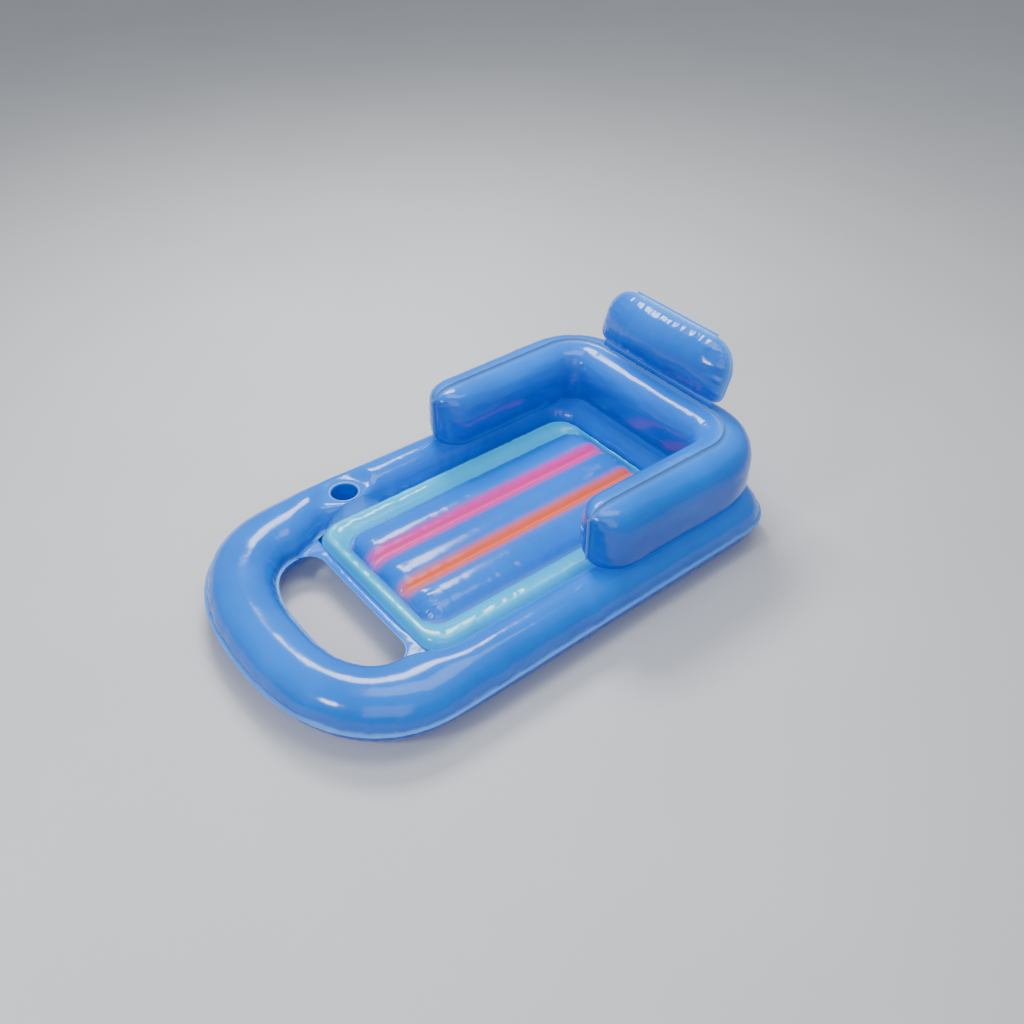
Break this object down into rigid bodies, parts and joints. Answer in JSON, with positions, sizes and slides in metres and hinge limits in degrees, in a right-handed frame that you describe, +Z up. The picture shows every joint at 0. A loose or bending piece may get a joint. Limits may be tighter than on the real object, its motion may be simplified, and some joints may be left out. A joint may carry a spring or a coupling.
{
  "type": "inflatable pool float",
  "caption": "Inflatable pool lounge: base ring with foot opening and cup holder, webbed seat mattress, U-shaped arm and back rest, and a tilting head pillow, all with valves.",
  "frame": {"origin": "on the floor, in the middle of the footprint", "axes": "+Y from the foot end to the head end, +Z up, +X to the sitter's left, away from the cup holder"},
  "size_m": [0.84, 1.358, 0.4944],
  "materials": {
    "vinyl_blue": "translucent azure PVC film, glossy",
    "vinyl_cyan": "translucent cyan PVC film, glossy",
    "vinyl_pink": "translucent pink PVC film, glossy",
    "vinyl_orange": "translucent orange PVC film, glossy",
    "valve_clear": "soft clear moulded PVC"
  },
  "bodies": {
    "root": {"base_upper_sheet": "vinyl_blue", "base_lower_sheet": "vinyl_blue", "cross_band": "vinyl_blue", "seat_border_sheet": "vinyl_cyan", "seat_upper_sheet": "vinyl_blue", "seat_lower_sheet": "vinyl_blue", "seat_web_pink": "vinyl_pink", "seat_web_orange": "vinyl_orange", "cup_holder_liner": "vinyl_blue", "rest_outer_sheet": "vinyl_blue", "rest_inner_sheet": "vinyl_blue", "base_valve_flange": "valve_clear", "seat_valve_flange": "valve_clear", "rest_valve_flange": "valve_clear"},
    "pillow": {"pillow_front_sheet": "vinyl_blue", "pillow_back_sheet": "vinyl_blue", "pillow_hinge_strip": "vinyl_blue", "pillow_valve_flange": "valve_clear"},
    "base_stem": {"base_valve_stem": "valve_clear"},
    "base_plug": {"base_valve_plug": "valve_clear", "base_valve_strap": "valve_clear"},
    "base_flap": {"base_valve_flap": "valve_clear"},
    "seat_stem": {"seat_valve_stem": "valve_clear"},
    "seat_plug": {"seat_valve_plug": "valve_clear", "seat_valve_strap": "valve_clear"},
    "seat_flap": {"seat_valve_flap": "valve_clear"},
    "rest_stem": {"rest_valve_stem": "valve_clear"},
    "rest_plug": {"rest_valve_plug": "valve_clear", "rest_valve_strap": "valve_clear"},
    "rest_flap": {"rest_valve_flap": "valve_clear"},
    "pillow_stem": {"pillow_valve_stem": "valve_clear"},
    "pillow_plug": {"pillow_valve_plug": "valve_clear", "pillow_valve_strap": "valve_clear"},
    "pillow_flap": {"pillow_valve_flap": "valve_clear"}
  },
  "joints": [
    {"name": "pillow_tilt", "type": "hinge", "parent": "root", "child": "pillow", "pos_m": [0, 0.585, 0.3313], "axis": [-1, 0, 0], "range_deg": [-50, 35]},
    {"name": "base_valve_push", "type": "slide", "parent": "root", "child": "base_stem", "axis": [0, -0.7377, -0.6751], "range_m": [0, 0.008]},
    {"name": "base_plug_pull", "type": "slide", "parent": "base_stem", "child": "base_plug", "axis": [0, 0.7377, 0.6751], "range_m": [0, 0.012]},
    {"name": "base_flap_open", "type": "hinge", "parent": "base_stem", "child": "base_flap", "pos_m": [0.1444, 0.64889, 0.11553], "axis": [0, 0.6751, -0.7377], "range_deg": [0, 70], "stiffness_Nm_per_rad": 0.002},
    {"name": "seat_valve_push", "type": "slide", "parent": "root", "child": "seat_stem", "axis": [0, 0, 1], "range_m": [0, 0.008]},
    {"name": "seat_plug_pull", "type": "slide", "parent": "seat_stem", "child": "seat_plug", "axis": [0, 0, -1], "range_m": [0, 0.012]},
    {"name": "seat_flap_open", "type": "hinge", "parent": "seat_stem", "child": "seat_flap", "pos_m": [0.0056, 0.353, 0.05475], "axis": [0, 1, 0], "range_deg": [0, 70], "stiffness_Nm_per_rad": 0.002},
    {"name": "rest_valve_push", "type": "slide", "parent": "root", "child": "rest_stem", "axis": [0, -1, 0], "range_m": [0, 0.008]},
    {"name": "rest_plug_pull", "type": "slide", "parent": "rest_stem", "child": "rest_plug", "axis": [0, 1, 0], "range_m": [0, 0.012]},
    {"name": "rest_flap_open", "type": "hinge", "parent": "rest_stem", "child": "rest_flap", "pos_m": [-0.1156, 0.6526, 0.2325], "axis": [0, 0, -1], "range_deg": [0, 70], "stiffness_Nm_per_rad": 0.002},
    {"name": "pillow_valve_push", "type": "slide", "parent": "pillow", "child": "pillow_stem", "axis": [0, -0.9397, 0.342], "range_m": [0, 0.008]},
    {"name": "pillow_plug_pull", "type": "slide", "parent": "pillow_stem", "child": "pillow_plug", "axis": [0, 0.9397, -0.342], "range_m": [0, 0.012]},
    {"name": "pillow_flap_open", "type": "hinge", "parent": "pillow_stem", "child": "pillow_flap", "pos_m": [-0.0056, 0.65383, 0.40128], "axis": [0, -0.342, -0.9397], "range_deg": [0, 70], "stiffness_Nm_per_rad": 0.002}
  ]
}
